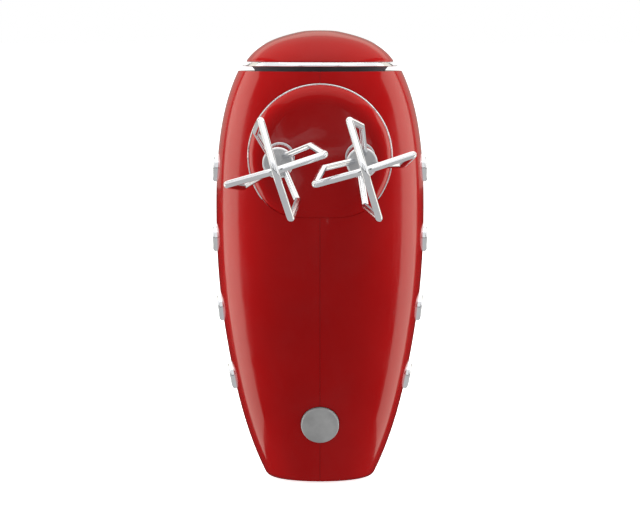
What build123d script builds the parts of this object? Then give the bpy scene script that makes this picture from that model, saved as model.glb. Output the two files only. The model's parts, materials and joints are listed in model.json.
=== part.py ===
from build123d import *
import math
import os

# Hand mixer standing on its heel. Millimetres.
# Origin: centre of the heel's resting face, on the hull's axis.
# +Z runs from heel to nose, -Y points towards the beaters, +Y towards the handle, X runs across.

os.makedirs("parts", exist_ok=True)

# ---- hull and handle ----
HULL_PROFILE = ((23.4, 0), (31.1, 17.6), (39.8, 50), (45.5, 88.5), (46.85, 122),
                (45.5, 151), (42.5, 168), (36.85, 184))  # (radius, height)
HULL_TOP = 184
WALL = 2.4
SEAM = 0.06                 # half of the gap between the two housing halves
HEEL_Z = 0.6                # the shell stops here, the heel pad carries on to z = 0
HEEL_ROUND = 4
HANDLE_HALF_WIDTH = 16
HANDLE_EDGE_ROUND = 10
HANDLE_ROOT_ROUND = 8
HANDLE_TOP_Y = 112
HANDLE_CORNERS = ((10, -14, 0), (98.5, -14, 0), (HANDLE_TOP_Y, 104, 400), (HANDLE_TOP_Y, 183, 20),
                  (10, 183, 0), (10, 156, 0), (84, 156, 17), (78, 36, 17), (10, 36, 0))  # (y, z, round)
NECK_OPENING_R = 29.6

# ---- turret and drive ----
AXIS_Z = 147                # height of both spindles
SPINDLE_X = 17.5
TURRET_FACE_Y = -47.5
TURRET_R = 31.4
TURRET_FLAT_R = 23
TRIM_R = 31.9
FIT_GAP = 0.15              # gap around inlaid pieces

# ---- worm gearing: two-start worm, axial module 1 ----
WORM_STARTS = 2
MODULE = 1
WORM_PITCH_R = 4.5
WHEEL_TEETH = 26
ADDENDUM = 0.9
DEDENDUM = 1.3
TOOTH_WIDTH = 1.1           # thinner than half the pitch, so the teeth run with backlash
PRESSURE_ANGLE = 20
WORM_LEAD = WORM_STARTS * math.pi * MODULE
LEAD_ANGLE = math.degrees(math.atan(WORM_LEAD / (2 * math.pi * WORM_PITCH_R)))

# ---- motor, stacked along z ----
SHAFT_R = 3
BUSH_GAP = 0.05             # radial running clearance
STATOR = (25, 20, 58, 98)   # half width, half depth, lowest z, highest z
BOLT_X = 20
BOLT_Y = 14

# ---- controls in the handle's top panel, heights along z ----
PANEL = (12, 108, 181)      # half width, lowest z, highest z
TURBO_Z = 117
STEP_Z = 131
STEP_X = 5.8
DISPLAY_Z = 145.5
POWER_Z = 158.5
EJECT_Z = 173
EJECT_SLOT = (17, 10)       # width and height of the eject button
EJECT_TRAVEL = 7
BUTTON_GAP = 0.25

# ---- beaters ----
WIRE_R = 1.45
HUB_Y = -105                # rear face of the hub
HUB_THICKNESS = 2.6
SLEEVE_R = 6
STEM_R = 3


def bar(start, end, radius):
    """Cylinder from start to end."""
    run = Vector(*end) - Vector(*start)
    plane = Plane(origin=start, z_dir=run)
    return plane * Cylinder(radius, run.length, align=(Align.CENTER, Align.CENTER, Align.MIN))


def tube(start, end, outer, inner):
    """Hollow cylinder from start to end."""
    return bar(start, end, outer) - bar(start, end, inner)


def block(x, y, z):
    """Box between the given (low, high) pairs."""
    size = (x[1] - x[0], y[1] - y[0], z[1] - z[0])
    return Pos(x[0], y[0], z[0]) * Box(*size, align=(Align.MIN, Align.MIN, Align.MIN))


def turned(outline, start=(0, 0, 0), direction=(0, 0, 1)):
    """Solid of revolution of a closed (radius, height) outline, with its axis along direction."""
    face = make_face(Plane.XZ * Polyline(*outline, close=True))
    return Plane(origin=start, z_dir=direction) * revolve(face, Axis.Z)


def slot_prism(width, height, z, y_low, y_high):
    """Upright prism with round ends, long across the handle."""
    plane = Plane(origin=(0, y_low, z), x_dir=(1, 0, 0), z_dir=(0, 1, 0))
    return extrude(plane * SlotOverall(width, height), y_high - y_low)


def around_z(shape, count, first=0, last=360):
    """Copies of a shape, evenly turned about the hull's axis from angle first up to last."""
    return [Rot(0, 0, first + (last - first) * i / count) * shape for i in range(count)]


def mirrored(shape):
    """The shape and its copy on the other side of the centre plane."""
    return [shape, mirror(shape, Plane.YZ)]


def save(name, *shapes):
    """Write one node, with all its separate solids, to its own STEP file."""
    solids = [solid for shape in shapes for solid in shape.solids()]
    export_step(solids[0] if len(solids) == 1 else Compound(solids), f"parts/{name}.step")


# ---------------------------------------------------------------- hull
hull_side = Spline(*[(r, 0, z) for r, z in HULL_PROFILE])


def hull_point(z):
    """Radius and outward slope (degrees) of the hull at height z."""
    low, high = 0.0, 1.0
    for _ in range(30):
        middle = (low + high) / 2
        if (hull_side @ middle).Z < z:
            low = middle
        else:
            high = middle
    along = hull_side % low
    return (hull_side @ low).X, math.degrees(math.atan2(along.X, along.Z))


def hull_solid(inset, low, high):
    """Filled hull, drawn in by inset, between two heights."""
    side = Spline(*[(r - inset, 0, z) for r, z in HULL_PROFILE])
    closing = Polyline(side @ 1, (0, 0, HULL_TOP), (0, 0, 0), side @ 0)
    body = revolve(make_face([side.edge(), *closing.edges()]), Axis.Z)
    return body & block((-60, 60), (-60, 60), (low, high))


def handle_solid(inset):
    """Filled handle loop, drawn in by inset, running into the hull at both ends."""
    line = FilletPolyline(*[(y, z) for y, z, r in HANDLE_CORNERS],
                          radius=[r for y, z, r in HANDLE_CORNERS], close=True)
    outline = make_face(Plane.YZ * line)
    if inset:
        outline = offset(outline, -inset)
    half_width = HANDLE_HALF_WIDTH - inset
    body = extrude(outline, half_width, both=True)
    rims = [edge for edge in body.edges()
            if abs(abs(edge.center().X) - half_width) < 0.01
            and edge.center().Y > 10.5 + inset and edge.center().Z > -13.5 + inset]
    return fillet(rims, HANDLE_EDGE_ROUND - inset)


def outer_form():
    """The whole closed outer form, with the handle blended into the hull."""
    above_heel = block((-60, 60), (-60, 130), (HEEL_Z, HULL_TOP))
    form = (hull_solid(0, 0, HULL_TOP) + handle_solid(0)) & above_heel
    blends = [edge for edge in form.edges()
              if edge.geom_type == GeomType.BSPLINE and edge.center().Z > HEEL_Z + 0.5
              and abs(edge.center().Y) > 0.1]
    form = fillet(blends, HANDLE_ROOT_ROUND)
    heel_edges = [edge for edge in form.edges() if abs(edge.center().Z - HEEL_Z) < 0.01]
    return fillet(heel_edges, HEEL_ROUND)


outer = outer_form()
cavity_floor = HEEL_Z + WALL
hull_cavity = hull_solid(WALL, cavity_floor, HULL_TOP - WALL)
handle_cavity = handle_solid(WALL) & block((-60, 60), (-60, 130), (cavity_floor, HULL_TOP))
shell = outer - hull_cavity - handle_cavity


# ---------------------------------------------------------------- turret cover
def turret_form(gap):
    """Filled turret with a rounded shoulder, grown all round by gap, running back into the hull."""
    radius = TURRET_R + gap
    face = TURRET_FACE_Y - gap
    shoulder = TURRET_R - TURRET_FLAT_R + gap
    flat = Line((0, face), (TURRET_FLAT_R, face))
    corner = RadiusArc((TURRET_FLAT_R, face), (radius, face + shoulder), -shoulder)
    back = Polyline((radius, face + shoulder), (radius, -25), (0, -25), (0, face))
    profile = make_face([flat.edge(), corner.edge(), *back.edges()])
    return Pos(0, 0, AXIS_Z) * revolve(profile, Axis.Y)


TRIM_Y = (TURRET_FACE_Y + TURRET_R - TURRET_FLAT_R, TURRET_FACE_Y + TURRET_R - TURRET_FLAT_R + 1.2)
TRIM_INNER_R = TRIM_R - 1.6
TURRET_SCREW_Z = (134.6, 159.4)
COLLAR_R = 6.6
GEARBOX_FRONT_Y = -9


def on_turret_axis(y):
    return (0, y, AXIS_Z)


turret_hollow = bar(on_turret_axis(TURRET_FACE_Y + WALL), on_turret_axis(-20), TURRET_R - WALL - 0.3)
trim_groove = tube(on_turret_axis(TRIM_Y[0]), on_turret_axis(TRIM_Y[1]), TRIM_R + 1, TRIM_INNER_R)
turret_cover = turret_form(0) - turret_hollow - trim_groove
for z in TURRET_SCREW_Z:
    turret_cover += bar((0, GEARBOX_FRONT_Y - 0.05, z), (0, TURRET_FACE_Y + 1, z), 3.5)
    turret_cover -= bar((0, GEARBOX_FRONT_Y, z), (0, GEARBOX_FRONT_Y - 10, z), 1.55)
for x in (-SPINDLE_X, SPINDLE_X):
    turret_cover += bar((x, -39, AXIS_Z), (x, TURRET_FACE_Y + 1, AXIS_Z), COLLAR_R + 2)
    turret_cover -= bar((x, -38, AXIS_Z), (x, TURRET_FACE_Y - 1, AXIS_Z), COLLAR_R)
save("turret_cover", turret_cover)

trim_ring = tube(on_turret_axis(TRIM_Y[0]), on_turret_axis(TRIM_Y[1]), TRIM_R, TRIM_INNER_R)
save("turret_trim_ring", fillet(trim_ring.edges().group_by(Axis.Y)[0], 0.35))

# ---------------------------------------------------------------- openings and seats in the shell
turret_opening = turret_form(FIT_GAP) + bar(on_turret_axis(TRIM_Y[0] - FIT_GAP), on_turret_axis(-25),
                                            TRIM_R + FIT_GAP)
neck_opening = bar((0, 0, HULL_TOP - WALL - 1), (0, 0, HULL_TOP + 1), NECK_OPENING_R)

PAD_Z = 27.8
PAD_R = 8.4
pad_hull_r, pad_slope = hull_point(PAD_Z)
pad_out = Vector(0, -math.cos(math.radians(pad_slope)), -math.sin(math.radians(pad_slope)))
pad_seat = Vector(0, -pad_hull_r, PAD_Z)
pad_pocket = bar(pad_seat - pad_out * 1.8, pad_seat + pad_out * 3, PAD_R + 0.3)
pad_backing = bar(pad_seat - pad_out * 4, pad_seat, PAD_R + 2)

STUD_Z = (46.4, 77.4, 108.8, 140.4)
STUD_R = 6.3
STUD_PIN_R = 2


def stud_frame(z):
    """Seat point on the hull's right side at height z, and the outward normal there."""
    radius, slope = hull_point(z)
    out = Vector(math.cos(math.radians(slope)), 0, -math.sin(math.radians(slope)))
    return Vector(radius, 0, z), out


stud_seats = []
studs = []
for z in STUD_Z:
    seat, out = stud_frame(z)
    stud_seats.append(bar(seat - out * 0.75, seat + out * 3, STUD_R + FIT_GAP))
    stud_seats.append(bar(seat - out * 5, seat, STUD_PIN_R + 0.1))
    cap = bar(seat - out * 0.6, seat + out * 1.8, STUD_R)
    cap = fillet(cap.edges().filter_by(GeomType.CIRCLE).sort_by_distance(seat + out * 1.8)[0], 1.1)
    studs.append(cap + bar(seat - out * 4, seat, STUD_PIN_R))
save("side_studs", *studs, *[mirror(stud, Plane.YZ) for stud in studs])

PANEL_DEPTH = 2.4


def panel_prism(grow):
    """Rounded upright prism over the handle's top, for the control panel and its opening."""
    half_width, low, high = PANEL
    outline = RectangleRounded(2 * (half_width + grow), high - low + 2 * grow, 5 + grow)
    plane = Plane(origin=(0, HANDLE_TOP_Y - 8, (low + high) / 2), x_dir=(1, 0, 0), z_dir=(0, 1, 0))
    return extrude(plane * outline, 12)


control_panel = (panel_prism(0) & outer) - handle_solid(PANEL_DEPTH)
panel_opening = panel_prism(FIT_GAP)

INLET_Z = 19
INLET_R = 6
INLET_BORE_R = 3.6
INLET_END_Y = 112
inlet_hole = bar((0, 85, INLET_Z), (0, INLET_END_Y, INLET_Z), INLET_R + 0.05)

HEEL_PAD_TOP = 1.6
heel_disc = bar((0, 0, 0), (0, 0, HEEL_PAD_TOP), 17.5)
heel_strip = block((-7.5, 7.5), (0, 88), (0, HEEL_PAD_TOP))
heel_pad = fillet((heel_disc + heel_strip).edges().filter_by(Axis.Z), 3)
heel_pocket = extrude(offset(heel_pad.faces().sort_by(Axis.Z)[-1], FIT_GAP), -4)
save("heel_pad", fillet(heel_pad.edges().group_by(Axis.Z)[0], 0.5))

# ---------------------------------------------------------------- ribs and screw bosses inside the shell
BOSS_R = 3.4
SCREW_R = 1.5
SCREW_HEAD_R = 2.8
SCREW_REACH = 9             # how far each screw passes into the right half
CASE_SCREWS = ((16, 14), (30, 62), (30, 112), (29, 152), (66, 163.5), (94, 128), (93, 62), (85, 26))
GEARBOX_HALF_WIDTH = 35


def rib(z, x_half, y_low, y_high):
    """Two millimetre web across the hull at height z, open around what it holds."""
    web = bar((0, 0, z), (0, 0, z + 2), hull_point(z)[0] - WALL / 2)
    return web - block((-x_half, x_half), (y_low, y_high), (z - 1, z + 3))


def screw_seat(y, z):
    """Depth in x of the screw head's seat, a little under the shell's surface."""
    if y > 50:
        surface = HANDLE_HALF_WIDTH
    else:
        surface = math.sqrt(hull_point(z)[0] ** 2 - y ** 2)
    return surface - 3.4


bosses = [bar((-50, y, z), (50, y, z), BOSS_R) for y, z in CASE_SCREWS]
stator_ribs = [rib(z, STATOR[0] + 0.15, -STATOR[1] - 0.15, STATOR[1] + 0.15) for z in (70, 86)]
gearbox_ribs = [rib(z, GEARBOX_HALF_WIDTH + 0.15, GEARBOX_FRONT_Y - 0.15, 60) for z in (128.1, 163.5)]
SPRING_SEAT_Y = 62
spring_seat = block((-14, 14), (SPRING_SEAT_Y - 2, SPRING_SEAT_Y), (167.5, 182))
stiffening = [rib_web - turret_form(3) for rib_web in stator_ribs + gearbox_ribs]
for piece in bosses + stiffening + [spring_seat, pad_backing]:
    shell += piece & outer

EJECT_ROD_R = 2.2
EJECT_FOOT_Y = 106          # underside of the eject button
shell = shell - turret_opening - neck_opening - pad_pocket - panel_opening - inlet_hole - heel_pocket
shell -= bar((0, 40, EJECT_Z), (0, 108, EJECT_Z), EJECT_ROD_R + 0.3)
shell -= slot_prism(EJECT_SLOT[0] + 0.6, EJECT_SLOT[1] + 0.6, EJECT_Z,
                    EJECT_FOOT_Y - EJECT_TRAVEL - 1, EJECT_FOOT_Y)
for cut in stud_seats:
    shell = shell - cut - mirror(cut, Plane.YZ)
for y, z in CASE_SCREWS:
    seat_x = screw_seat(y, z)
    shell -= bar((-seat_x, y, z), (-60, y, z), SCREW_HEAD_R + 0.3)
    shell -= bar((-seat_x - 1, y, z), (SCREW_REACH + 1, y, z), SCREW_R + 0.05)
save("housing_left", shell & block((-60, -SEAM), (-60, 130), (-1, 200)))
save("housing_right", shell & block((SEAM, 60), (-60, 130), (-1, 200)))

case_screws = []
for y, z in CASE_SCREWS:
    seat_x = screw_seat(y, z)
    head = bar((-seat_x, y, z), (-seat_x - 2, y, z), SCREW_HEAD_R)
    head -= block((-seat_x - 2.5, -seat_x - 1), (y - 0.4, y + 0.4), (z - 1.8, z + 1.8))
    head -= block((-seat_x - 2.5, -seat_x - 1), (y - 1.8, y + 1.8), (z - 0.4, z + 0.4))
    case_screws.append(head + bar((-seat_x, y, z), (SCREW_REACH, y, z), SCREW_R))
save("case_screws", *case_screws)

rest_pad = bar(pad_seat - pad_out * 1.7, pad_seat + pad_out * 1.3, PAD_R)
rim = rest_pad.edges().filter_by(GeomType.CIRCLE).sort_by_distance(pad_seat + pad_out * 1.3)[0]
save("bowl_rest_pad", fillet(rim, 0.9))

# ---------------------------------------------------------------- cord inlet
inlet = bar((0, 90, INLET_Z), (0, INLET_END_Y - 2, INLET_Z), INLET_R)
inlet += bar((0, 106, INLET_Z), (0, INLET_END_Y, INLET_Z), INLET_R + 1.4)
inlet = fillet(inlet.edges().filter_by(GeomType.CIRCLE).group_by(Axis.Y)[-1], 1)
save("cord_inlet", inlet - bar((0, 80, INLET_Z), (0, INLET_END_Y + 5, INLET_Z), INLET_BORE_R))

# ---------------------------------------------------------------- nose
NECK_LOW_R = 29.2
NECK_HIGH_R = 30.8
RING_Z = (186, 188)
RING_LOW_R = 35.3
RING_HIGH_R = 34.0
NOSE_HALF_AXES = (35.6, 21.5)
NOSE_APEX_Z = 202.1
NOSE_SCREW_R = 17
NOSE_BOSS_TOP = 198.1       # lies inside the cap's wall
FLANGE_TOP = HULL_TOP - WALL

neck = turned([(0, 180), (32, 180), (32, FLANGE_TOP - 0.05), (NECK_LOW_R, FLANGE_TOP - 0.05),
               (NECK_LOW_R, HULL_TOP), (NECK_HIGH_R, RING_Z[0]), (26.5, RING_Z[0]), (26.5, 183), (0, 183)])
# air leaves through slots in the rear half of the neck
vent = block((20, 40), (-1.2, 1.2), (HULL_TOP + 0.3, RING_Z[0] - 0.3))
for slot in around_z(vent, 14, first=25, last=165):
    neck -= slot
nose_screw_places = [(NOSE_SCREW_R * math.cos(a), NOSE_SCREW_R * math.sin(a))
                     for a in (math.radians(30), math.radians(150), math.radians(270))]
for x, y in nose_screw_places:
    neck -= bar((x, y, 179), (x, y, 184), SCREW_R + 0.05)
save("neck_vent_ring", neck)

ring = turned([(25, RING_Z[0]), (RING_LOW_R, RING_Z[0]), (RING_HIGH_R, RING_Z[1]), (25, RING_Z[1])])
ring = fillet(ring.edges().filter_by(GeomType.CIRCLE).filter_by(lambda e: e.radius > 30), 0.3)
save("nose_trim_ring", ring)


def nose_arc(inset):
    """Quarter profile of the nose, drawn in by inset, from the ring up to the apex."""
    centre_z = NOSE_APEX_Z - NOSE_HALF_AXES[1]
    half_width = NOSE_HALF_AXES[0] - inset
    half_height = NOSE_HALF_AXES[1] - inset
    first = math.asin((RING_Z[1] - centre_z) / half_height)
    points = []
    for step in range(4):
        angle = first + (math.pi / 2 - first) * step / 4
        points.append((half_width * math.cos(angle), centre_z + half_height * math.sin(angle)))
    points.append((0, NOSE_APEX_Z - inset))
    start = (-half_width * math.sin(first), half_height * math.cos(first))
    return Spline(*points, tangents=[start, (-1, 0)])


skin = nose_arc(0)
lining = nose_arc(WALL)
nose_profile = make_face([skin.edge(), lining.edge(), Line(skin @ 0, lining @ 0).edge(),
                          Line(skin @ 1, lining @ 1).edge()])
nose_cap = revolve(Plane.XZ * nose_profile, Axis.Z)
for x, y in nose_screw_places:
    nose_cap += bar((x, y, 183.05), (x, y, NOSE_BOSS_TOP), 2.8)
    nose_cap -= bar((x, y, 182), (x, y, 192), SCREW_R + 0.05)
nose_rim = nose_cap.edges().filter_by_position(Axis.Z, RING_Z[1] - 0.01, RING_Z[1] + 0.01)
save("nose_cap", fillet(nose_rim.sort_by(SortBy.LENGTH)[-1], 0.4))
COVER_SCREW_LENGTH = 11
cover_screws = [bar((x, y, 180 - 1.5), (x, y, 180), SCREW_HEAD_R)
                + bar((x, y, 180), (x, y, 180 + COVER_SCREW_LENGTH), SCREW_R) for x, y in nose_screw_places]

# ---------------------------------------------------------------- gearbox
GEARBOX_BACK_Y = 6.5
COVER_BACK_Y = GEARBOX_BACK_Y + 2.4
CAVITY_X = 32.5
CAVITY_Z = (131.5, 162.5)
FLANGE_Z = (124, 128)
SPINDLE_R = 4.8
PUSHER_HEAD_Y = COVER_BACK_Y + EJECT_TRAVEL + 0.8
FORK_Y = (PUSHER_HEAD_Y + 2.1, PUSHER_HEAD_Y + 4.6)
SPINDLE_BORE_R = 3.1
SPINDLE_BUSH_R = 6.4
MOTOR_BUSH_R = 6

GEARBOX_X = (-GEARBOX_HALF_WIDTH, GEARBOX_HALF_WIDTH)
frame = block(GEARBOX_X, (GEARBOX_FRONT_Y, GEARBOX_BACK_Y), (FLANGE_Z[1], 166))
frame -= block((-CAVITY_X, CAVITY_X), (GEARBOX_FRONT_Y + 2.5, GEARBOX_BACK_Y + 1), CAVITY_Z)
frame += block((-25, 25), (-18, 18), FLANGE_Z)
for x, y in ((BOLT_X, BOLT_Y), (-BOLT_X, -BOLT_Y)):
    frame += bar((x, y, STATOR[3] + 0.05), (x, y, FLANGE_Z[0] + 1), 4)
    frame -= bar((x, y, STATOR[3] - 1), (x, y, FLANGE_Z[0] + 2), 2.05)
for x in (-SPINDLE_X, SPINDLE_X):
    frame += bar((x, -13, AXIS_Z), (x, GEARBOX_FRONT_Y + 0.5, AXIS_Z), SPINDLE_BUSH_R + 2)
    frame -= bar((x, -14, AXIS_Z), (x, -6, AXIS_Z), SPINDLE_BUSH_R)
frame -= bar((0, 0, 120), (0, 0, 135), MOTOR_BUSH_R)
frame -= bar((0, 0, 160), (0, 0, 164.5), 5)
for z in TURRET_SCREW_Z:
    frame -= bar((0, GEARBOX_FRONT_Y - 1, z), (0, -6, z), SCREW_R + 0.05)
COVER_SCREWS = ((-33.7, 130), (33.7, 130), (-33.7, 164.2), (33.7, 164.2))
for x, z in COVER_SCREWS:
    frame -= bar((x, GEARBOX_BACK_Y - 8, z), (x, GEARBOX_BACK_Y + 1, z), 0.75)
save("gearbox_frame", frame)
cover_screws += [bar((0, -6.5, z), (0, -5, z), SCREW_HEAD_R)
                 + bar((0, -6.5, z), (0, -6.5 - COVER_SCREW_LENGTH, z), SCREW_R) for z in TURRET_SCREW_Z]
save("cover_screws", *cover_screws)

cover = block(GEARBOX_X, (GEARBOX_BACK_Y, COVER_BACK_Y), (128.05, 166))
for x in (-SPINDLE_X, SPINDLE_X):
    cover -= bar((x, 4, AXIS_Z), (x, COVER_BACK_Y + 1, AXIS_Z), SPINDLE_BUSH_R)
for x, z in COVER_SCREWS:
    cover -= bar((x, 4, z), (x, COVER_BACK_Y + 1, z), 0.8)
save("gearbox_cover", cover)
save("gearbox_screws", *[bar((x, COVER_BACK_Y, z), (x, COVER_BACK_Y + 1.2, z), 1.2)
                         + bar((x, 0, z), (x, COVER_BACK_Y, z), 0.7)
                         for x, z in COVER_SCREWS])
save("spindle_bushes", *[tube((x, y0, AXIS_Z), (x, y1, AXIS_Z), SPINDLE_BUSH_R, SPINDLE_R + BUSH_GAP)
                         for x in (-SPINDLE_X, SPINDLE_X)
                         for y0, y1 in ((-13, -6.5), (GEARBOX_BACK_Y, COVER_BACK_Y))])
save("motor_bushes", tube((0, 0, 124), (0, 0, 131.5), MOTOR_BUSH_R, SHAFT_R + BUSH_GAP),
     tube((0, 0, 160.5), (0, 0, 164.5), 5, SHAFT_R + BUSH_GAP),
     tube((0, 0, 28), (0, 0, 36), MOTOR_BUSH_R, SHAFT_R + BUSH_GAP))

collars = []
for x in (-SPINDLE_X, SPINDLE_X):
    collar = tube((x, -39.5, AXIS_Z), (x, TURRET_FACE_Y - 1.2, AXIS_Z), COLLAR_R, SPINDLE_R + 0.2)
    collars.append(fillet(collar.edges().group_by(Axis.Y)[0], 0.5))
save("socket_collars", *collars)

# ---------------------------------------------------------------- worm and wheels


def flank_offset(height):
    """Half width of a tooth at a height above the pitch line."""
    return TOOTH_WIDTH / 2 - height * math.tan(math.radians(PRESSURE_ANGLE))


def polar(radius, degrees):
    return (radius * math.cos(math.radians(degrees)), radius * math.sin(math.radians(degrees)))


def worm_section():
    """Section across the worm: one lobe for each start on the root circle."""
    root = WORM_PITCH_R - DEDENDUM
    tip = WORM_PITCH_R + ADDENDUM
    sketch = make_face(Circle(root).edges())
    for start in range(WORM_STARTS):
        first = 360 * start / WORM_STARTS
        rising = []
        falling = []
        for step in range(4):
            radius = root - 0.3 + (tip - root + 0.3) * step / 3
            turn = 360 * flank_offset(radius - WORM_PITCH_R) / WORM_LEAD
            rising.append(polar(radius, first - turn))
            falling.append(polar(radius, first + turn))
        crest = ThreePointArc(rising[-1], polar(tip, first), falling[-1])
        edges = [Spline(*rising).edge(), crest.edge(), Spline(*reversed(falling)).edge(),
                 Line(falling[0], rising[0]).edge()]
        sketch += make_face(edges)
    return sketch


def twisted(section, length, degrees):
    """Section drawn out along +Z while it turns by the given angle."""
    return Solid.extrude_linear_with_rotation(section.face(), (0, 0, 0), (0, 0, length), degrees)


WORM_Z = (138, 156)
worm_length = WORM_Z[1] - WORM_Z[0]
thread = twisted(worm_section(), worm_length, 360 * worm_length / WORM_LEAD)
shaft = bar((0, 0, 26), (0, 0, 164), SHAFT_R)
worm_shaft = shaft + Pos(0, 0, WORM_Z[0]) * thread
save("worm_shaft", worm_shaft)

WHEEL_Y = (-4, 4)
WHEEL_PITCH_R = WHEEL_TEETH * MODULE / 2


def wheel_section():
    """Section across a worm wheel: straight-flanked teeth on the root circle."""
    root = WHEEL_PITCH_R - DEDENDUM
    tip = WHEEL_PITCH_R + ADDENDUM
    corners = []
    for tooth in range(WHEEL_TEETH):
        middle = 360 * tooth / WHEEL_TEETH
        for radius, side in ((root, -1), (tip, -1), (tip, 1), (root, 1)):
            turn = math.degrees(flank_offset(radius - WHEEL_PITCH_R) / radius)
            corners.append(polar(radius, middle + side * turn))
    return make_face(Polyline(*corners, close=True))


wheel_width = WHEEL_Y[1] - WHEEL_Y[0]
wheel_twist = math.degrees(wheel_width * math.tan(math.radians(LEAD_ANGLE)) / WHEEL_PITCH_R)
# a tooth gap faces the thread that stands towards each wheel at mid height
MESH_Z = AXIS_Z - WORM_Z[0]
thread_turn = 360 * MESH_Z / WORM_LEAD


def worm_wheel(x):
    """Worm wheel about the spindle at x, in mesh with the worm at rest."""
    blank = twisted(wheel_section(), wheel_width, wheel_twist) - Cylinder(SPINDLE_R, 40)
    blank = Pos(0, 0, -wheel_width / 2) * blank
    blank = Rot(0, 0, -wheel_twist / 2) * blank
    toward = 180 if x > 0 else 0
    # height of the nearest thread crest on the side that faces the wheel
    crest_z = ((toward - thread_turn) / 360 * WORM_LEAD) % (WORM_LEAD / WORM_STARTS)
    pitch_turn = 360 / WHEEL_TEETH
    turn = math.degrees(crest_z / WHEEL_PITCH_R)
    lie_down = Plane(origin=(x, 0, AXIS_Z), x_dir=(1, 0, 0), z_dir=(0, -1, 0))
    phase = toward + (pitch_turn / 2 + turn if x < 0 else pitch_turn / 2 - turn)
    return lie_down * Rot(0, 0, phase) * blank


for side, x in (("left", -SPINDLE_X), ("right", SPINDLE_X)):
    save(f"worm_wheel_{side}", worm_wheel(x))
    spindle = tube((x, TURRET_FACE_Y - 0.4, AXIS_Z), (x, COVER_BACK_Y - 0.2, AXIS_Z),
                   SPINDLE_R, SPINDLE_BORE_R)
    spindle -= block((x - 6, x + 6), (-50, -42.5), (AXIS_Z - 0.8, AXIS_Z + 0.8))
    save(f"spindle_{side}", spindle)
    pusher = bar((x, -11.9, AXIS_Z), (x, PUSHER_HEAD_Y, AXIS_Z), STEM_R)
    pusher += bar((x, PUSHER_HEAD_Y, AXIS_Z), (x, PUSHER_HEAD_Y + 1.8, AXIS_Z), 5)
    save(f"ejector_pusher_{side}", pusher)

# ---------------------------------------------------------------- motor
half_w, half_d, low, high = STATOR
stator = extrude(Pos(0, 0, low) * RectangleRounded(2 * half_w, 2 * half_d, 5), high - low)
stator -= bar((0, 0, low - 1), (0, 0, high + 1), 13.4)
for x_low, x_high in ((8.8, 15.2), (-15.2, -8.8)):
    for y_low, y_high in ((11.3, 16.2), (-16.2, -11.3)):
        stator -= block((x_low, x_high), (y_low, y_high), (low - 1, high + 1))
for x, y in ((BOLT_X, BOLT_Y), (-BOLT_X, -BOLT_Y)):
    stator -= bar((x, y, low - 1), (x, y, high + 1), 2.05)
save("stator_core", stator)


def field_coil(y_low, y_high):
    """Flat wound coil around one stator pole."""
    coil = block((-15, 15), (y_low, y_high), (52, 104))
    coil -= block((-9, 9), (y_low - 1, y_high + 1), (57.8, 98.2))
    return fillet(coil.edges().filter_by(Axis.Y).filter_by(lambda e: abs(e.center().X) > 12), 3)


save("field_coils", field_coil(11.5, 16), field_coil(-16, -11.5))

SLOTS = 12
core = bar((0, 0, low), (0, 0, high), 12.9) - bar((0, 0, low - 1), (0, 0, high + 1), SHAFT_R)
windings = tube((0, 0, 52.5), (0, 0, low), 11, 5.5) + tube((0, 0, high), (0, 0, 103.5), 11, 5.5)
for slot in around_z(block((6.5, 11.6), (-1.2, 1.2), (low - 1, high + 1)), SLOTS):
    core -= slot
for slot in around_z(block((11, 14), (-0.5, 0.5), (low - 1, high + 1)), SLOTS):
    core -= slot
for bundle in around_z(block((6.7, 11), (-1.1, 1.1), (low - 0.5, high + 0.5)), SLOTS):
    windings += bundle
save("armature_core", core)
save("armature_windings", windings)

commutator = tube((0, 0, 40), (0, 0, 50), 9, SHAFT_R)
for slot in around_z(block((8.2, 10), (-0.25, 0.25), (39, 51)), SLOTS):
    commutator -= slot
save("commutator", commutator)

FAN_R = 19.5
fan = tube((0, 0, 107), (0, 0, 118), 6, SHAFT_R) + tube((0, 0, 107), (0, 0, 108.6), FAN_R, SHAFT_R)
blade_line = ThreePointArc((5, 0, 108), (12, 3, 108), (FAN_R - 0.8, 1, 108))
blade = extrude(trace(blade_line, 1.2), 9.5, dir=(0, 0, 1))
for vane in around_z(blade, 9):
    fan += vane
save("cooling_fan", fan)

bracket = extrude(Pos(0, 0, 30) * RectangleRounded(48, 36, 5), 3)
bracket += bar((0, 0, 28), (0, 0, 36), MOTOR_BUSH_R + 2.4)
for x, y in ((BOLT_X, BOLT_Y), (-BOLT_X, -BOLT_Y)):
    bracket += bar((x, y, 31), (x, y, low - 0.05), 4)
    bracket -= bar((x, y, 29), (x, y, low + 1), 2.05)
for x_low, x_high in ((12, 22), (-22, -12)):
    bracket += block((x_low, x_high), (-4, 4), (31, 40.95))
bracket -= bar((0, 0, 27), (0, 0, 37), MOTOR_BUSH_R)
save("bearing_bracket", bracket)
save("motor_bolts", *[bar((x, y, 27.5), (x, y, 30), 3.4) + bar((x, y, 30), (x, y, 125.9), 2)
                      for x, y in ((BOLT_X, BOLT_Y), (-BOLT_X, -BOLT_Y))])

BRUSH_Z = (42.4, 47.6)
holder = block((10, 28), (-4, 4), (41, 49)) - block((9, 26.5), (-2.6, 2.6), (BRUSH_Z[0], BRUSH_Z[1]))
save("brush_holders", *mirrored(holder))
brush = block((9.1, 19), (-2.5, 2.5), (42.5, 47.5)) - bar((0, 0, 40), (0, 0, 50), 9.1)
save("carbon_brushes", *mirrored(brush))


def coil_spring(start, direction, length, radius, wire, turns):
    """Open coil spring between two points, with its wire kept inside its length."""
    path = Helix(pitch=(length - 2 * wire) / turns, height=length - 2 * wire, radius=radius)
    section = Plane(origin=path @ 0, z_dir=path % 0) * Circle(wire)
    return Plane(origin=start, z_dir=direction) * Pos(0, 0, wire) * sweep(section, path=path)


brush_spring = coil_spring((19.1, 0, 45), (1, 0, 0), 7.2, 1.9, 0.25, 5)
save("brush_springs", *mirrored(brush_spring))

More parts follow.
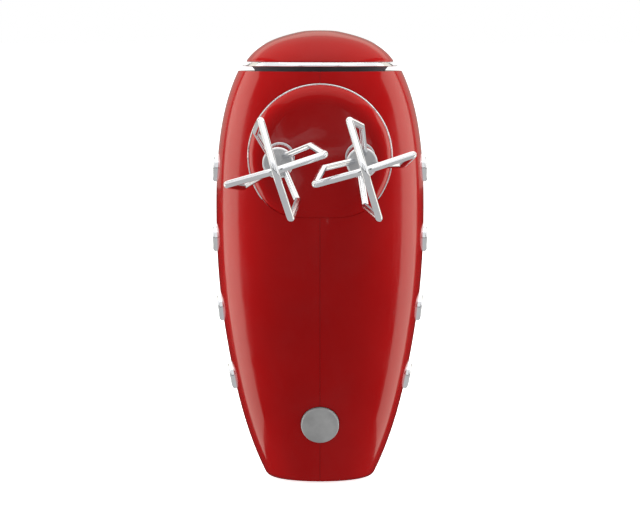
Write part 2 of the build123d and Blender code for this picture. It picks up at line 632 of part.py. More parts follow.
# ---------------------------------------------------------------- ejector
ROD_COLLAR_Y = 86
fork = block((-23, 23), FORK_Y, (143, 151)) + block((-23, -12), FORK_Y, (143, 170))
fork += block((12, 23), FORK_Y, (143, 170)) + block((-23, 23), FORK_Y, (165, 177))
fork += bar((0, FORK_Y[1] - 1, EJECT_Z), (0, EJECT_FOOT_Y, EJECT_Z), EJECT_ROD_R)
fork += bar((0, ROD_COLLAR_Y, EJECT_Z), (0, ROD_COLLAR_Y + 1.6, EJECT_Z), 4.6)
save("eject_fork", fork)
spring_length = ROD_COLLAR_Y - SPRING_SEAT_Y - 0.1
save("eject_spring", coil_spring((0, SPRING_SEAT_Y + 0.05, EJECT_Z), (0, 1, 0), spring_length, 3.6, 0.45, 8))

# ---------------------------------------------------------------- control panel, buttons and boards
BUTTON_TOP = HANDLE_TOP_Y + 1.2
BUTTON_FOOT = HANDLE_TOP_Y - 5.4


def round_button(x, z, radius):
    """Round key with a flange under the panel."""
    key = bar((x, BUTTON_FOOT + 1, z), (x, BUTTON_TOP, z), radius)
    key = fillet(key.edges().filter_by(GeomType.CIRCLE).group_by(Axis.Y)[-1], 0.6)
    return key + bar((x, BUTTON_FOOT, z), (x, BUTTON_FOOT + 1, z), radius + 0.8)


ROUND_KEYS = {"turbo_button": (0, TURBO_Z, 5), "minus_button": (-STEP_X, STEP_Z, 4.2),
              "plus_button": (STEP_X, STEP_Z, 4.2), "power_button": (0, POWER_Z, 4.2)}
for name, (x, z, radius) in ROUND_KEYS.items():
    save(name, round_button(x, z, radius))
    control_panel -= bar((x, 100, z), (x, 120, z), radius + BUTTON_GAP)


eject_button = slot_prism(*EJECT_SLOT, EJECT_Z, EJECT_FOOT_Y, HANDLE_TOP_Y + 2.4)
eject_button = fillet(eject_button.edges().group_by(Axis.Y)[-1], 1.2)
save("eject_button", eject_button)
control_panel -= slot_prism(EJECT_SLOT[0] + 0.5, EJECT_SLOT[1] + 0.5, EJECT_Z, 100, 120)

window_plane = Plane(origin=(0, 105, DISPLAY_Z), x_dir=(1, 0, 0), z_dir=(0, 1, 0))
window_prism = extrude(window_plane * RectangleRounded(15, 11, 1.5), HANDLE_TOP_Y - 105)
save("display_window", window_prism & block((-10, 10), (HANDLE_TOP_Y - 1.4, 115), (130, 160)) & outer)
control_panel -= extrude(window_plane * RectangleRounded(15.2, 11.2, 1.6), 12)
save("control_panel", control_panel)

board = block((-9.5, 9.5), (100, 101.6), (110, 165))
save("control_board", board)
switches = []
for x, z, radius in ROUND_KEYS.values():
    plunger = bar((x, 104, z), (x, 105.2, z), 1.6)
    switches.append(block((x - 3, x + 3), (101.65, 104), (z - 3, z + 3)) + plunger)
save("tact_switches", *switches)
save("display_module", block((-7, 7), (101.65, 110.4), (DISPLAY_Z - 5, DISPLAY_Z + 5)))

power_board = block((-11, 11), (46, 78), (9, 10.6))
save("power_board", power_board)
save("filter_capacitor", fillet(block((-9, -1), (50, 68), (10.65, 22)).edges(), 0.8))
terminal = block((-7, 7), (70, 77), (10.65, 20))
for x in (-3.5, 3.5):
    terminal -= bar((x, 73.5, 14), (x, 73.5, 21), 1.8)
save("terminal_block", terminal)

# ---------------------------------------------------------------- beaters
SOCKET_Y = TURRET_FACE_Y - 1.2
TIP_DEPTH = 136             # wire crossing ahead of the turret face
WIDE_DEPTH = 122
TIP_SPREAD = 1.85           # keeps the two crossing wires clear of each other
KNEE_DEPTH = 92
WIDE_R = 20.4
KNEE_R = 16.3
ROOT_R = 4.3
KNEE_TWIST = 14
BLADE_ANGLE = 17


def wire_loop(x, twist, blade, tip_depth):
    """One closed wire of a beater: out along a blade, over the tip and back on the other side."""
    def point(radius, degrees, depth):
        across, up = polar(radius, degrees)
        return (x + across, TURRET_FACE_Y - depth, AXIS_Z + up)

    hub_front = TURRET_FACE_Y - (HUB_Y - HUB_THICKNESS)
    points = [point(ROOT_R, blade + 2 * twist, hub_front - 1.6),
              point(ROOT_R, blade + 2 * twist, hub_front + 4),
              point(KNEE_R, blade + twist, KNEE_DEPTH),
              point(WIDE_R, blade, WIDE_DEPTH),
              point(0, blade, tip_depth)]
    points += [point(WIDE_R, blade + 180, WIDE_DEPTH),
               point(KNEE_R, blade + 180 + twist, KNEE_DEPTH),
               point(ROOT_R, blade + 180 + 2 * twist, hub_front + 4),
               point(ROOT_R, blade + 180 + 2 * twist, hub_front - 1.6)]
    path = FilletPolyline(*points, radius=(3.5, 4, 2.4, 7, 2.4, 4, 3.5))
    return sweep(Plane(origin=path @ 0, z_dir=path % 0) * Circle(WIRE_R), path=path)


for side, x, twist in (("left", -SPINDLE_X, KNEE_TWIST), ("right", SPINDLE_X, -KNEE_TWIST)):
    loop_a = wire_loop(x, twist, BLADE_ANGLE + 90, TIP_DEPTH + TIP_SPREAD)
    loop_b = wire_loop(x, twist, BLADE_ANGLE, TIP_DEPTH - TIP_SPREAD)
    hub = bar((x, HUB_Y, AXIS_Z), (x, HUB_Y - HUB_THICKNESS, AXIS_Z), SLEEVE_R + 0.5)
    hub = fillet(hub.edges().filter_by(GeomType.CIRCLE), 0.5)
    stem = bar((x, -12, AXIS_Z), (x, HUB_Y, AXIS_Z), STEM_R)
    stem = chamfer(stem.edges().group_by(Axis.Y)[-1], 0.8)
    stem += block((x - 4.5, x + 4.5), (-47.5, -43.2), (AXIS_Z - 0.5, AXIS_Z + 0.5))
    sleeve = bar((x, SOCKET_Y - 0.6, AXIS_Z), (x, HUB_Y, AXIS_Z), SLEEVE_R)
    sleeve = fillet(sleeve.edges().filter_by(GeomType.CIRCLE), 0.5)
    save(f"beater_{side}_shaft", stem + sleeve)
    save(f"beater_{side}_hub", hub - loop_a - loop_b)
    save(f"beater_{side}_loop_a", loop_a)
    save(f"beater_{side}_loop_b", loop_b)
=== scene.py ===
import json
import math

import bmesh
import bpy
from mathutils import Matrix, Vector


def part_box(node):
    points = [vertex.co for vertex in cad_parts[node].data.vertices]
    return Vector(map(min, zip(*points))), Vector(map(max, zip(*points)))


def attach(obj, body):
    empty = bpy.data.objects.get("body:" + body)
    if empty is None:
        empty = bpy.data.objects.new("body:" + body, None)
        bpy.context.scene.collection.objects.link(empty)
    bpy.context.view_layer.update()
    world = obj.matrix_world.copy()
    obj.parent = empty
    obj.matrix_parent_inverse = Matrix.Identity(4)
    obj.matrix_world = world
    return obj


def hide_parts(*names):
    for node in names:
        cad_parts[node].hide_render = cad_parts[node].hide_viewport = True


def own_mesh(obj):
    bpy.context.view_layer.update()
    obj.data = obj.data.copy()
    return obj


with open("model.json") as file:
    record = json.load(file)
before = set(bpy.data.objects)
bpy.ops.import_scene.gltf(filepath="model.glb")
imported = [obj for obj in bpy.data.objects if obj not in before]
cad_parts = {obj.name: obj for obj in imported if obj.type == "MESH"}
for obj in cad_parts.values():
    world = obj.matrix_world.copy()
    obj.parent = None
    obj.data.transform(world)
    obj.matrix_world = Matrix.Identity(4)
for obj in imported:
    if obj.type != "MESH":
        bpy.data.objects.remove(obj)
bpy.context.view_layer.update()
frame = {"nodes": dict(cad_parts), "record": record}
NODES = frame["nodes"]
SUBPARTS = frame["record"]["subparts"]

# ------------------------------------------------------------------ named values, lengths in metres
SPINDLE_X = 0.0175          # each beater's axis, to either side of the middle
SPINDLE_Z = 0.147
HUB_RIM_R = 0.0056          # from here outwards a hub's end face is a pale rim
COLLAR_RIM_R = 0.0059       # the same on a socket collar
RIM_EDGE = 0.0003           # width over which the face turns into its rim
TURNING_PITCH = 0.00045     # from one turned circle to the next
RING_CURVE = -130           # how strongly the nose ring's polished face is curved, per metre

TONGUE_DEPTH = 0.00035      # how far the seam's tongue lies under the surface
TONGUE_FILL = 0.98          # share of the gap between the housing halves that the tongue takes up
SAME_PLACE = 1e-6           # points closer than this are one point

MARK_HEIGHT = 0.00012       # raised marks on the keys
LINE = 0.0006               # width of their strokes
TIP_REACH, TIP_HALF = 0.4, 0.55     # how far a stroke's end runs on, and its half width, in half strokes
ARM = 0.0017                # half the width of the plus, the minus and each chevron
CHEVRON_RISE = 0.0014
CHEVRON_FEET = (-0.0013, 0.0007)
POWER_R = 0.0018
POWER_ARC = (125, 415)      # degrees, open at the top
POWER_BAR = (0.0004, 0.0024)
DIGIT_HALF_W, DIGIT_HALF_H = 0.0015, 0.0030
DIGIT_LINE = 0.00055
DIGIT_GAP = 0.00045         # from a segment's end to the digit's corner

FLOOR_HALF = 60.0
FLOOR_GLOW = 0.82
WORLD_TO_CAMERA, WORLD_TO_GLOSS, WORLD_TO_OTHERS = 1.0, 0.02, 0.7
SIDE_BOX = (0.56, 1.2)      # width and height of the softboxes that streak the lacquer's sides
FILL_BOX = (0.9, 0.9)       # the same of the ones that show in no reflection
CAMERA_DISTANCE = 1.363
CAMERA_HEIGHT = 0.2005
PITCH = 4.205               # degrees below level
LENS, SENSOR = 169.9, 36    # millimetres

CHROME_TINT = (0.86, 0.87, 0.89)
WARM = (1, 0.95, 0.83)
WHITE = (1, 1, 1)


def scaled(tint, share):
    """The same colour, darker or paler."""
    return tuple(channel * share for channel in tint)


# ------------------------------------------------------------------ material helpers
class Shader:
    """One node material, built up from a Principled shader."""

    def __init__(self, name):
        self.material = bpy.data.materials.new(name)
        self.material.use_nodes = True
        self.tree = self.material.node_tree
        self.bsdf = self.tree.nodes["Principled BSDF"]
        self.place = self.add("ShaderNodeTexCoord").outputs["Object"]
        self.height = None

    def add(self, kind, **settings):
        node = self.tree.nodes.new(kind)
        for key, value in settings.items():
            setattr(node, key, value)
        return node

    def link(self, source, target):
        self.tree.links.new(source, target)

    def set(self, **values):
        """Constant values on the shader's own sockets."""
        for key, value in values.items():
            self.bsdf.inputs[key.replace("_", " ")].default_value = value
        return self

    def stretched(self, scale):
        mapping = self.add("ShaderNodeMapping")
        mapping.inputs["Scale"].default_value = scale
        self.link(self.place, mapping.inputs["Vector"])
        return mapping.outputs["Vector"]

    def noise(self, scale, detail=3.0, rough=0.55, stretch=None, distortion=0.0):
        node = self.add("ShaderNodeTexNoise")
        node.inputs["Scale"].default_value = scale
        node.inputs["Detail"].default_value = detail
        node.inputs["Roughness"].default_value = rough
        node.inputs["Distortion"].default_value = distortion
        self.link(self.stretched(stretch) if stretch else self.place, node.inputs["Vector"])
        return node.outputs["Fac"]

    def cells(self, scale, feature="F1"):
        node = self.add("ShaderNodeTexVoronoi", feature=feature)
        node.inputs["Scale"].default_value = scale
        self.link(self.place, node.inputs["Vector"])
        return node.outputs["Distance"]

    def remap(self, value, low, high, from_low=0.0, from_high=1.0):
        node = self.add("ShaderNodeMapRange")
        node.inputs["From Min"].default_value = from_low
        node.inputs["From Max"].default_value = from_high
        node.inputs["To Min"].default_value = low
        node.inputs["To Max"].default_value = high
        self.link(value, node.inputs["Value"])
        return node.outputs["Result"]

    def math(self, operation, first, second):
        node = self.add("ShaderNodeMath", operation=operation)
        for socket, value in zip(node.inputs, (first, second)):
            if isinstance(value, (int, float)):
                socket.default_value = value
            else:
                self.link(value, socket)
        return node.outputs["Value"]

    def mix(self, factor, first, second):
        """Colour between first and second, by factor."""
        node = self.add("ShaderNodeMix", data_type="RGBA")
        sockets = [s for s in node.inputs if s.type == "RGBA"]
        factor_socket = next(s for s in node.inputs if s.type == "VALUE" and s.enabled)
        self.link(factor, factor_socket)
        for socket, value in zip(sockets, (first, second)):
            if isinstance(value, tuple):
                socket.default_value = (*value, 1)
            else:
                self.link(value, socket)
        return next(s for s in node.outputs if s.type == "RGBA")

    def colour(self, socket):
        self.link(socket, self.bsdf.inputs["Base Color"])
        return self

    def roughness(self, socket):
        self.link(socket, self.bsdf.inputs["Roughness"])
        return self

    def bump(self, height, strength, distance):
        """Stack one more layer of relief."""
        node = self.add("ShaderNodeBump")
        node.inputs["Strength"].default_value = strength
        node.inputs["Distance"].default_value = distance
        self.link(height, node.inputs["Height"])
        if self.height is not None:
            self.link(self.height, node.inputs["Normal"])
        self.height = node.outputs["Normal"]
        self.link(self.height, self.bsdf.inputs["Normal"])
        return self


def red_lacquer():
    """Gloss red lacquer over moulded plastic: faint orange peel, handling marks and fine scratches."""
    s = Shader("red_lacquer")
    cloud = s.noise(18, detail=4)
    speck = s.noise(2600, detail=2)
    tone = s.mix(s.remap(cloud, 0, 1, 0.3, 0.7), (0.34, 0.0035, 0.004), (0.4, 0.0055, 0.006))
    s.colour(s.mix(s.remap(speck, 0, 0.12, 0.4, 0.9), tone, (0.46, 0.014, 0.014)))
    smudge = s.noise(42, detail=5, rough=0.62, distortion=0.6)
    scratch = s.noise(900, detail=2, stretch=(1, 1, 0.04))
    rough = s.math("ADD", s.remap(smudge, 0.12, 0.22, 0.35, 0.75), s.remap(scratch, 0, 0.05, 0.55, 0.8))
    s.roughness(rough)
    s.bump(s.noise(420, detail=1), 0.05, 0.00012)
    s.bump(s.noise(60, detail=1), 0.05, 0.0004)
    return s.set(Coat_Weight=0.6, Coat_Roughness=0.035, Coat_IOR=1.45, IOR=1.45).material


def chrome(name, tint, rough_low, rough_high, lines=None, scale=60):
    """Plated metal with water marks, fine polishing lines and a few pits."""
    s = Shader(name)
    marks = s.noise(scale, detail=5, rough=0.6, distortion=0.4)
    polish = s.noise(1500, detail=2, stretch=lines or (1, 1, 0.06))
    wear = s.remap(marks, rough_low, rough_high, 0.35, 0.75)
    s.roughness(s.math("ADD", wear, s.remap(polish, 0, 0.05, 0.5, 0.8)))
    s.colour(s.mix(s.remap(marks, 0, 0.7, 0.45, 0.8), tint, scaled(tint, 0.86)))
    s.bump(polish, 0.04, 0.00003)
    s.bump(s.noise(180, detail=2), 0.04, 0.00008)
    return s.set(Metallic=1.0).material


def machined_steel(name, tint, lines=(1, 0.03, 1)):
    """Turned or drawn steel with visible tool lines and a dark film in places."""
    s = Shader(name)
    grain = s.noise(2400, detail=3, stretch=lines)
    film = s.noise(120, detail=4, distortion=0.5)
    s.colour(s.mix(s.remap(film, 0, 0.8, 0.4, 0.75), tint, scaled(tint, 0.62)))
    s.roughness(s.math("ADD", s.remap(grain, 0.2, 0.34, 0.3, 0.7), s.remap(film, 0, 0.12, 0.4, 0.7)))
    s.bump(grain, 0.18, 0.00004)
    return s.set(Metallic=1.0).material


def turned_face(name, rim_tint, face_tint, rim_from, rough):
    """Face turned on a lathe about either spindle: fine circles, with a paler rim beyond rim_from."""
    s = Shader(name)
    parts = s.add("ShaderNodeSeparateXYZ")
    s.link(s.place, parts.inputs["Vector"])
    across = s.math("SUBTRACT", s.math("ABSOLUTE", parts.outputs["X"], 0), SPINDLE_X)
    up = s.math("SUBTRACT", parts.outputs["Z"], SPINDLE_Z)
    radius = s.math("SQRT", s.math("ADD", s.math("MULTIPLY", across, across), s.math("MULTIPLY", up, up)), 0)
    circles = s.math("SINE", s.math("MULTIPLY", radius, 2 * math.pi / TURNING_PITCH), 0)
    film = s.noise(260, detail=4, distortion=0.5)
    face = s.mix(s.remap(circles, 0.2, 0.8, -1, 1), face_tint, scaled(face_tint, 0.8))
    face = s.mix(s.remap(film, 0, 0.5, 0.4, 0.8), face, scaled(face_tint, 0.7))
    s.colour(s.mix(s.remap(radius, 0, 1, rim_from, rim_from + RIM_EDGE), face, rim_tint))
    s.roughness(s.math("ADD", s.remap(circles, rough, rough + 0.06, -1, 1), s.remap(film, 0, 0.08, 0.4, 0.7)))
    s.bump(circles, 0.25, 0.00004)
    return s.set(Metallic=1.0).material


def coned_ring():
    """Chrome of the nose ring, polished to a shallow curve that leans under towards the lower edge."""
    s = Shader("ring_chrome")
    low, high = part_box("nose_trim_ring")
    parts = s.add("ShaderNodeSeparateXYZ")
    s.link(s.place, parts.inputs["Vector"])
    below_top = s.remap(parts.outputs["Z"], high.z - low.z, 0, low.z, high.z)
    marks = s.noise(60, detail=5, rough=0.6, distortion=0.4)
    s.colour(s.mix(s.remap(marks, 0, 0.7, 0.45, 0.8), CHROME_TINT, scaled(CHROME_TINT, 0.86)))
    s.roughness(s.remap(marks, 0.08, 0.18, 0.35, 0.75))
    s.bump(s.math("MULTIPLY", s.math("MULTIPLY", below_top, below_top), RING_CURVE), 1.0, 1.0)
    return s.set(Metallic=1.0).material


def moulded(name, tint, rough=0.42, grain=2200, strength=0.25, lift=1.35):
    """Moulded plastic with a fine spark-eroded grain, flow marks and polished high spots."""
    s = Shader(name)
    flow = s.noise(25, detail=3, distortion=1.2)
    spark = s.noise(grain, detail=3, rough=0.7)
    pale = tuple(min(1, c * lift + 0.004) for c in tint)
    s.colour(s.mix(s.remap(flow, 0, 1, 0.3, 0.75), tint, pale))
    s.roughness(s.math("ADD", s.remap(spark, rough - 0.06, rough + 0.1, 0.3, 0.7), s.remap(flow, 0, 0.08)))
    s.bump(spark, strength, 0.00006)
    return s.material


def rubber(name, tint):
    """Moulded rubber: matt, faintly mottled, with a bloom of pale dust and tiny pores."""
    s = Shader(name)
    mottle = s.noise(140, detail=4)
    bloom = s.noise(22, detail=5, rough=0.65)
    pores = s.cells(1900)
    base = s.mix(s.remap(mottle, 0, 1, 0.35, 0.65), tint, scaled(tint, 1.25))
    s.colour(s.mix(s.remap(bloom, 0, 0.35, 0.5, 0.85), base, tuple(min(1, c * 1.7 + 0.02) for c in tint)))
    s.roughness(s.remap(mottle, 0.55, 0.75, 0.3, 0.7))
    s.bump(s.remap(pores, 0, 1, 0, 0.35), 0.3, 0.00008)
    s.bump(mottle, 0.12, 0.0001)
    return s.set(Specular_IOR_Level=0.35).material


def brushed_panel():
    """Satin aluminium, brushed along the handle, with a clear anodised skin."""
    s = Shader("panel_silver")
    brushing = s.noise(3200, detail=3, stretch=(1, 1, 0.012))
    cloud = s.noise(30, detail=3)
    s.colour(s.mix(s.remap(brushing, 0, 1, 0.3, 0.7), (0.56, 0.57, 0.58), (0.72, 0.73, 0.74)))
    s.roughness(s.math("ADD", s.remap(brushing, 0.24, 0.36, 0.3, 0.7), s.remap(cloud, 0, 0.06)))
    s.bump(brushing, 0.12, 0.00003)
    return s.set(Metallic=1.0, Coat_Weight=0.15, Coat_Roughness=0.2).material


def smoked_glass():
    """Dark display window with a faint haze under a glossy coat."""
    s = Shader("display_glass")
    haze = s.noise(60, detail=4)
    s.colour(s.mix(s.remap(haze, 0, 1, 0.4, 0.7), (0.006, 0.006, 0.008), (0.012, 0.012, 0.016)))
    s.roughness(s.remap(haze, 0.04, 0.12, 0.35, 0.75))
    s.bump(s.noise(300, detail=1), 0.03, 0.00005)
    return s.set(Coat_Weight=1.0, Coat_Roughness=0.03).material


def copper_wire():
    """Lacquered copper windings: fine strands with varnish between them."""
    s = Shader("copper_winding")
    strands = s.noise(1400, detail=2, stretch=(1, 1, 0.02))
    varnish = s.noise(90, detail=4)
    strand_tone = s.mix(s.remap(strands, 0, 1, 0.4, 0.6), (0.33, 0.09, 0.03), (0.78, 0.33, 0.15))
    s.colour(s.mix(s.remap(varnish, 0, 0.5, 0.45, 0.8), strand_tone, (0.2, 0.05, 0.02)))
    s.roughness(s.remap(varnish, 0.22, 0.45, 0.3, 0.7))
    s.bump(strands, 0.5, 0.0002)
    return s.set(Metallic=0.8).material


def lamination():
    """Stacked electrical steel: thin sheets edge on, with a film of oil and a little rust."""
    s = Shader("lamination")
    sheets = s.noise(2200, detail=1, stretch=(0.01, 0.01, 1))
    rust = s.noise(160, detail=5, rough=0.7)
    steel = s.mix(s.remap(sheets, 0, 1, 0.4, 0.6), (0.16, 0.16, 0.17), (0.3, 0.3, 0.31))
    s.colour(s.mix(s.remap(rust, 0, 0.6, 0.62, 0.8), steel, (0.22, 0.09, 0.04)))
    s.roughness(s.remap(sheets, 0.35, 0.6, 0.3, 0.7))
    s.bump(sheets, 0.6, 0.0001)
    return s.set(Metallic=0.9).material


def circuit_board():
    """Green solder mask with tracks showing through and a glass weave below."""
    s = Shader("circuit_board")
    tracks = s.cells(420, feature="DISTANCE_TO_EDGE")
    weave = s.noise(3500, detail=1, stretch=(1, 0.2, 1))
    mask = s.mix(s.remap(weave, 0, 1, 0.35, 0.65), (0.008, 0.07, 0.025), (0.014, 0.11, 0.04))
    s.colour(s.mix(s.remap(tracks, 1, 0, 0.02, 0.06), mask, (0.03, 0.2, 0.07)))
    s.roughness(s.remap(weave, 0.24, 0.4, 0.3, 0.7))
    s.bump(s.remap(tracks, 1, 0, 0.02, 0.06), 0.3, 0.00005)
    return s.material


MATERIALS = {
    "red_enamel": red_lacquer(),
    "chrome_trim": chrome("chrome_trim", CHROME_TINT, 0.05, 0.13),
    "beater_chrome": chrome("beater_chrome", (0.83, 0.84, 0.86), 0.07, 0.17, lines=(1, 0.05, 1), scale=110),
    "button_chrome": chrome("button_chrome", CHROME_TINT, 0.08, 0.18, scale=140),
    "hub_grey": turned_face("hub_steel", (0.9, 0.9, 0.91), (0.6, 0.6, 0.61), HUB_RIM_R, 0.26),
    "steel": machined_steel("ground_steel", (0.6, 0.61, 0.63)),
    "screw_steel": machined_steel("screw_steel", (0.55, 0.55, 0.57), lines=(0.2, 1, 1)),
    "spring_steel": machined_steel("spring_steel", (0.58, 0.58, 0.6)),
    "bronze": machined_steel("sintered_bronze", (0.46, 0.28, 0.12), lines=(1, 1, 1)),
    "brass_holder": machined_steel("stamped_brass", (0.7, 0.5, 0.2), lines=(0.1, 1, 1)),
    "dark_plastic": moulded("dark_plastic", (0.1, 0.107, 0.118), rough=0.34),
    "collar_grey": turned_face("collar_steel", (0.72, 0.72, 0.74), (0.3, 0.3, 0.31), COLLAR_RIM_R, 0.24),
    "gear_plastic": moulded("gear_nylon", (0.68, 0.65, 0.55), rough=0.38, lift=1.1),
    "frame_plastic": moulded("glass_filled_plastic", (0.055, 0.055, 0.06), rough=0.5, strength=0.4),
    "button_dark": moulded("button_plastic", (0.03, 0.03, 0.033), rough=0.36),
    "component_black": moulded("component_black", (0.02, 0.02, 0.02), rough=0.4),
    "terminal_grey": moulded("terminal_grey", (0.3, 0.31, 0.32), rough=0.45, lift=1.15),
    "carbon": moulded("pressed_carbon", (0.02, 0.02, 0.02), rough=0.55, grain=1200, strength=0.6),
    "rubber_grey": rubber("rubber_grey", (0.32, 0.32, 0.32)),
    "rubber_dark": rubber("rubber_dark", (0.02, 0.02, 0.021)),
    "panel_silver": brushed_panel(),
    "display_glass": smoked_glass(),
    "copper": copper_wire(),
    "lamination": lamination(),
    "circuit_board": circuit_board(),
}


def coat(mesh, material):
    """Give a mesh one material."""
    mesh.materials.clear()
    mesh.materials.append(material)


def show(name, mesh):
    """Put a new piece into the scene."""
    piece = bpy.data.objects.new(name, mesh)
    bpy.context.scene.collection.objects.link(piece)
    return piece


for row in SUBPARTS:
    coat(NODES[row["node"]].data, MATERIALS[row["material_slot"]])
coat(NODES["nose_trim_ring"].data, coned_ring())

# ------------------------------------------------------------------ spring and seam
# the ejector's spring, which shortens as the button is pressed, is shown as a copy with a mesh of its own on
# the root body
spring = show("eject_spring_shown", NODES["eject_spring"].data.copy())
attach(spring, "root")
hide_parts("eject_spring")
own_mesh(spring)


def seam_tongue_painted_shade():
    """Moulded tongue that closes the parting line: the housing's joint face, pulled in all round. Its near
    black red is painted shade in the groove.
    """
    bm = bmesh.new()
    bm.from_mesh(NODES["housing_left"].data)
    joint_x = max(vert.co.x for vert in bm.verts)
    elsewhere = [face for face in bm.faces if any(joint_x - vert.co.x > SAME_PLACE for vert in face.verts)]
    bmesh.ops.delete(bm, geom=elsewhere, context="FACES")
    bmesh.ops.remove_doubles(bm, verts=bm.verts, dist=SAME_PLACE)
    edge_ring = bmesh.ops.inset_region(bm, faces=bm.faces[:], thickness=TONGUE_DEPTH, use_boundary=True)
    bmesh.ops.delete(bm, geom=edge_ring["faces"], context="FACES")
    for vert in bm.verts:
        vert.co.x = 0
    mesh = bpy.data.meshes.new("seam_tongue_painted_shade")
    bm.to_mesh(mesh)
    bm.free()
    # near black red: painted shade in the seam groove between the lacquered halves
    mesh.materials.append(moulded("tongue_painted_shade", (0.05, 0.003, 0.003), rough=0.6))
    tongue = show("seam_tongue_painted_shade", mesh)
    plate = tongue.modifiers.new("thickness", "SOLIDIFY")
    plate.thickness = 2 * abs(joint_x) * TONGUE_FILL
    plate.offset = 0
    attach(tongue, "root")


seam_tongue_painted_shade()


# ------------------------------------------------------------------ raised marks and the lit digit
def mark_material(name, tint, glow=0.0):
    """Flecked paint, which glows in the display."""
    s = Shader(name)
    fleck = s.noise(1600, detail=2)
    s.colour(s.mix(s.remap(fleck, 0, 1, 0.3, 0.7), tint, scaled(tint, 0.85)))
    s.roughness(s.remap(fleck, 0.35, 0.5, 0.3, 0.7))
    if glow:
        s.set(Emission_Color=(*tint, 1), Emission_Strength=glow)
    return s.material


MARK_WHITE = mark_material("mark_white", (0.8, 0.8, 0.8))
MARK_DARK = mark_material("mark_dark", (0.03, 0.03, 0.03))
DIGIT_GLOW = mark_material("digit_glow", (0.75, 0.85, 0.95), glow=1.6)


def prism(bm, corners, y, height):
    """Flat shape given by (x, z) corners, standing height above y."""
    low = [bm.verts.new((x, y, z)) for x, z in corners]
    high = [bm.verts.new((x, y + height, z)) for x, z in corners]
    bm.faces.new(low)
    bm.faces.new(high[::-1])
    count = len(corners)
    for i in range(count):
        j = (i + 1) % count
        bm.faces.new((low[j], low[i], high[i], high[j]))


def stroke(start, end, width):
    """Corners of a straight bar with bevelled ends."""
    a, b = Vector(start), Vector(end)
    along = (b - a).normalized() * width / 2
    across = Vector((-along.y, along.x))
    reach, half = along * TIP_REACH, across * TIP_HALF
    return [a - reach - half, a - across, b - across, b + reach - half,
            b + reach + half, b + across, a + across, a - reach + half]


def arc_strokes(centre, radius, first, last, width, count=14):
    """Corners of short quads that make an arc, angles in degrees."""
    def at(reach, angle):
        return (centre[0] + reach * math.cos(angle), centre[1] + reach * math.sin(angle))

    quads = []
    for i in range(count):
        start, end = (math.radians(first + (last - first) * k / count) for k in (i, i + 1))
        inner, outer = radius - width / 2, radius + width / 2
        quads.append([at(inner, start), at(inner, end), at(outer, end), at(outer, start)])
    return quads


def mark(name, shapes, y, body, material):
    """One raised mark made of flat shapes, riding on a body."""
    bm = bmesh.new()
    for corners in shapes:
        prism(bm, corners, y, MARK_HEIGHT)
    bmesh.ops.recalc_face_normals(bm, faces=bm.faces)
    mesh = bpy.data.meshes.new(name)
    bm.to_mesh(mesh)
    bm.free()
    mesh.materials.append(material)
    piece = show(name, mesh)
    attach(piece, body)


def face_of(node):
    """Middle of a piece, and how far back its outer face is."""
    low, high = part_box(node)
    return (low + high) / 2, high.y


def level_stroke(spot):
    """The bar of the plus and the minus."""
    return stroke((spot.x - ARM, spot.z), (spot.x + ARM, spot.z), LINE)


spot, top = face_of("plus_button")
upright = stroke((spot.x, spot.z - ARM), (spot.x, spot.z + ARM), LINE)
mark("mark_plus", [level_stroke(spot), upright], top, "plus_key", MARK_WHITE)

spot, top = face_of("minus_button")
mark("mark_minus", [level_stroke(spot)], top, "minus_key", MARK_WHITE)

spot, top = face_of("turbo_button")
chevrons = []
for foot in CHEVRON_FEET:
    tip = (spot.x, spot.z + foot + CHEVRON_RISE)
    chevrons.append(stroke((spot.x - ARM, spot.z + foot), tip, LINE))
    chevrons.append(stroke(tip, (spot.x + ARM, spot.z + foot), LINE))
mark("mark_turbo", chevrons, top, "turbo_key", MARK_WHITE)

spot, top = face_of("power_button")
power = arc_strokes((spot.x, spot.z), POWER_R, *POWER_ARC, LINE)
power.append(stroke((spot.x, spot.z + POWER_BAR[0]), (spot.x, spot.z + POWER_BAR[1]), LINE))
mark("mark_power", power, top, "power_key", MARK_DARK)

# the digit 0 in the display: six segments, as (x, z) ends in half widths and half heights
ZERO = (((-1, 1), (1, 1)), ((1, 1), (1, 0)), ((1, 0), (1, -1)),
        ((-1, -1), (1, -1)), ((-1, 0), (-1, -1)), ((-1, 1), (-1, 0)))
window_low, window_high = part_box("display_window")
window = (window_low + window_high) / 2
segments = []
for ends in ZERO:
    start, end = (Vector((window.x + x * DIGIT_HALF_W, window.z + z * DIGIT_HALF_H)) for x, z in ends)
    inset = (end - start).normalized() * DIGIT_GAP
    segments.append(stroke(start + inset, end - inset, DIGIT_LINE))
mark("display_digit", segments, window_high.y - MARK_HEIGHT * 0.5, "root", DIGIT_GLOW)


# ------------------------------------------------------------------ floor, light and camera
def around(azimuth, distance, height):
    """Place at an azimuth from the camera's side: 0 is in front, 90 to the right."""
    angle = math.radians(azimuth)
    return (distance * math.sin(angle), -distance * math.cos(angle), height)


def softbox(name, place, size, radiance, reflected=True, only=None, aim=(0, 0, 0.11), tint=WHITE):
    """A rectangular light turned to the object, as bright to look at as radiance says."""
    data = bpy.data.lights.new(name, "AREA")
    data.shape = "RECTANGLE"
    data.size, data.size_y = size
    data.energy = radiance * math.pi * size[0] * size[1]
    data.color = tint
    box = bpy.data.objects.new(name, data)
    box.location = place
    box.rotation_euler = (Vector(aim) - Vector(place)).to_track_quat("-Z", "Y").to_euler()
    box.visible_camera = False
    box.visible_glossy = reflected
    bpy.context.scene.collection.objects.link(box)
    if only:
        box.light_linking.receiver_collection = only


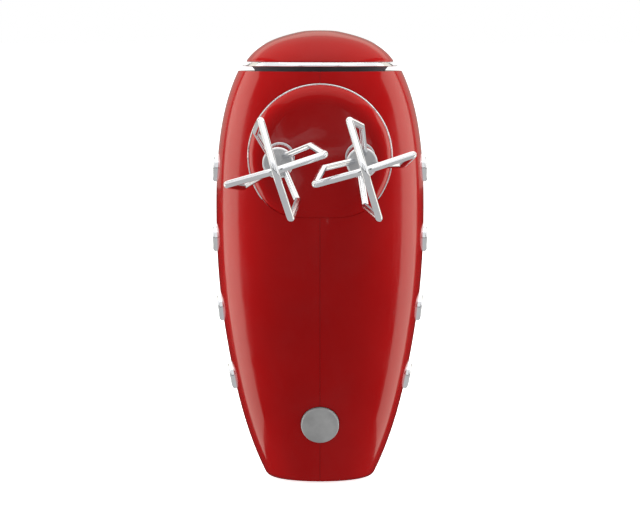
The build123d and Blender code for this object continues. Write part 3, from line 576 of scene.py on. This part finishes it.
floor_mesh = bpy.data.meshes.new("floor")
floor_corners = [(x * FLOOR_HALF, y * FLOOR_HALF, 0) for x, y in ((-1, -1), (1, -1), (1, 1), (-1, 1))]
floor_mesh.from_pydata(floor_corners, [], [(0, 1, 2, 3)])
floor_shader = Shader("floor_white")
floor_shader.colour(floor_shader.mix(floor_shader.noise(3, detail=2), (0.86, 0.86, 0.86), (0.9, 0.9, 0.9)))
floor_shader.set(Roughness=0.9, Specular_IOR_Level=0.0)
floor_shader.set(Emission_Color=(1, 1, 1, 1), Emission_Strength=FLOOR_GLOW)
coat(floor_mesh, floor_shader.material)
floor = show("floor", floor_mesh)
floor.visible_glossy = False
floor.visible_diffuse = False

# the bright metal has softboxes of its own, which the lacquer doesn't see
BRIGHT_SLOTS = ("chrome_trim", "beater_chrome", "button_chrome", "hub_grey", "steel", "collar_grey",
                "panel_silver")
bright = bpy.data.collections.new("bright_metal")
for row in SUBPARTS:
    if row["material_slot"] in BRIGHT_SLOTS or row["node"] == "neck_vent_ring":
        bright.objects.link(NODES[row["node"]])

# name, place, size, radiance
softbox("side_left", around(-117, 0.95, 0.12), SIDE_BOX, 0.98, tint=WARM)
softbox("side_right", around(117, 0.95, 0.12), SIDE_BOX, 0.92, tint=WARM)
softbox("overhead", (0, 0.3, 1.1), (1.7, 2.4), 0.28, tint=WARM)
softbox("back", (0, 1.7, 0.62), (2.8, 1.2), 0.3, tint=WARM)
softbox("fill_left", around(-112, 1.3, 0.12), FILL_BOX, 11.2, reflected=False)
softbox("fill_right", around(112, 1.3, 0.12), FILL_BOX, 10.8, reflected=False)
softbox("fill_top", (0, 0.1, 1.4), FILL_BOX, 4.4, reflected=False)
softbox("metal_front", (0, -2.2, 1.35), (2.2, 2.6), 0.85, only=bright)
softbox("metal_left", (-2.0, -0.6, 1.1), (3.4, 2.1), 1.0, only=bright)
softbox("metal_right", (2.0, -0.6, 1.1), (3.4, 2.1), 1.05, only=bright)
softbox("metal_back", (0, 2.0, 1.1), (3.6, 2.1), 0.9, only=bright)
softbox("metal_low", (0, 0, 0.004), (5, 5), 0.5, only=bright, aim=(0, 0, 1))
softbox("metal_top", (0, 0, 2.3), (4.0, 4.0), 1.05, only=bright)

# the world is white to the camera, nearly black in reflections and grey to every other ray
world = bpy.data.worlds.new("studio")
bpy.context.scene.world = world
world.use_nodes = True
tree = world.node_tree
path = tree.nodes.new("ShaderNodeLightPath")
shown = tree.nodes["Background"]
shown.inputs["Color"].default_value = (WORLD_TO_OTHERS, WORLD_TO_OTHERS, WORLD_TO_OTHERS, 1)
for ray, value in (("Is Glossy Ray", WORLD_TO_GLOSS), ("Is Camera Ray", WORLD_TO_CAMERA)):
    other = tree.nodes.new("ShaderNodeBackground")
    other.inputs["Color"].default_value = (value, value, value, 1)
    choice = tree.nodes.new("ShaderNodeMixShader")
    tree.links.new(path.outputs[ray], choice.inputs["Fac"])
    tree.links.new(shown.outputs[0], choice.inputs[1])
    tree.links.new(other.outputs[0], choice.inputs[2])
    shown = choice
tree.links.new(shown.outputs[0], tree.nodes["World Output"].inputs["Surface"])

camera_data = bpy.data.cameras.new("camera")
camera_data.lens = LENS
camera_data.sensor_width = SENSOR
camera_data.clip_start = 0.05
camera = bpy.data.objects.new("camera", camera_data)
camera.location = (0, -CAMERA_DISTANCE, CAMERA_HEIGHT)
camera.rotation_euler = (math.radians(90 - PITCH), 0, 0)
bpy.context.scene.collection.objects.link(camera)
bpy.context.scene.camera = camera
bpy.context.scene.view_settings.view_transform = "Standard"
